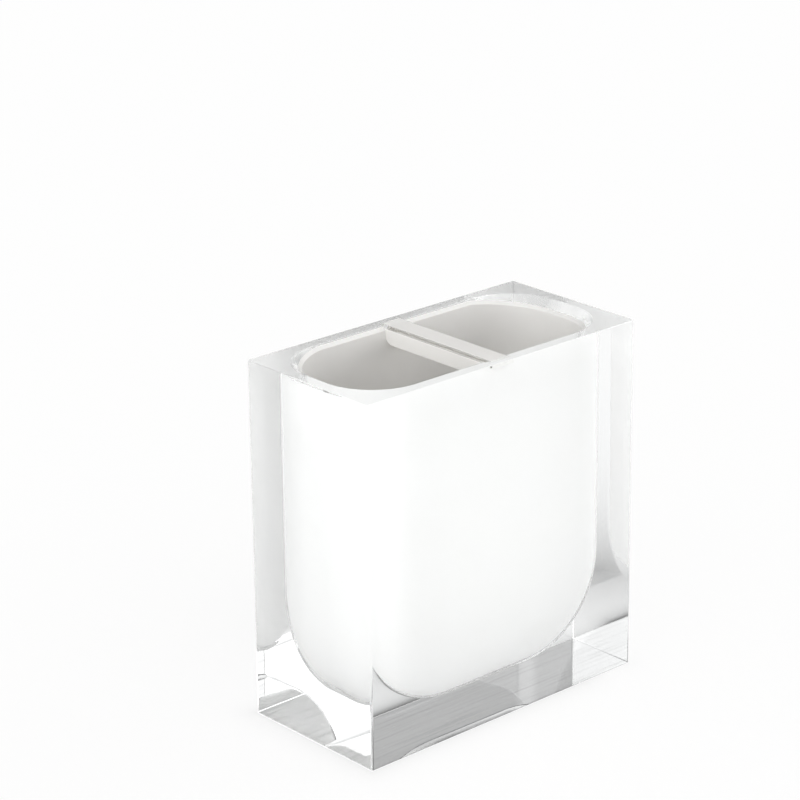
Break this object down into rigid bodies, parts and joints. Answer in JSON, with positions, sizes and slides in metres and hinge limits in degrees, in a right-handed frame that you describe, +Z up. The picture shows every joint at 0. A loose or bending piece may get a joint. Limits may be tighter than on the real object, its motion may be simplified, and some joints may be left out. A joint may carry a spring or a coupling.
{
  "type": "toothbrush holder",
  "caption": "Free-standing toothbrush holder: a clear cast resin block with a white liner bonded in a deep U-shaped well, and a clear bar across the mouth that parts it into slots.",
  "frame": {"origin": "centre of the block's bottom face, on the surface it stands on", "axes": "+X along the long side, +Y through the depth towards the back, +Z up"},
  "size_m": [0.104, 0.051, 0.11],
  "materials": {
    "clear_resin": "clear cast resin, polished on every outer face",
    "white_resin": "opaque white cast resin, satin inside the well",
    "clear_bar": "clear cast resin with a few fine bubbles, polished and bonded at both ends"
  },
  "bodies": {
    "root": {"resin_block": "clear_resin", "white_liner": "white_resin", "divider_bar": "clear_bar"}
  },
  "joints": []
}
